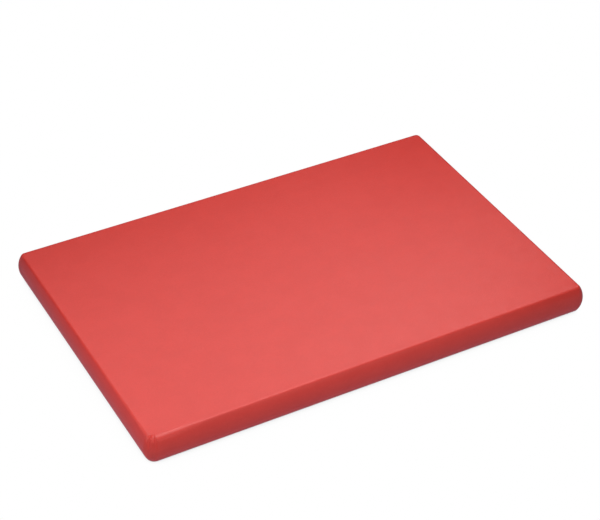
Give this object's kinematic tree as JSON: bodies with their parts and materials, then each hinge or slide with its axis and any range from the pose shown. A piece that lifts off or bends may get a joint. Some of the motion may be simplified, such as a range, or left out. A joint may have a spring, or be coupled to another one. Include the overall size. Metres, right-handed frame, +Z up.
{
  "type": "cutting board",
  "caption": "Thick rectangular butcher's cutting board, one solid red polyethylene slab with flat faces, small-radius corners and convex machined edges; either face can be cut on.",
  "frame": {"origin": "middle of the underside, on the surface that the board rests on", "axes": "+X along the board's length, +Y across its width, +Z up through its thickness"},
  "size_m": [0.45, 0.3, 0.028],
  "materials": {
    "red_polyethylene": "satin-matte solid red polyethylene, very finely textured faces and cutter-finished edges"
  },
  "bodies": {
    "root": {"cutting_slab": "red_polyethylene"}
  },
  "joints": []
}
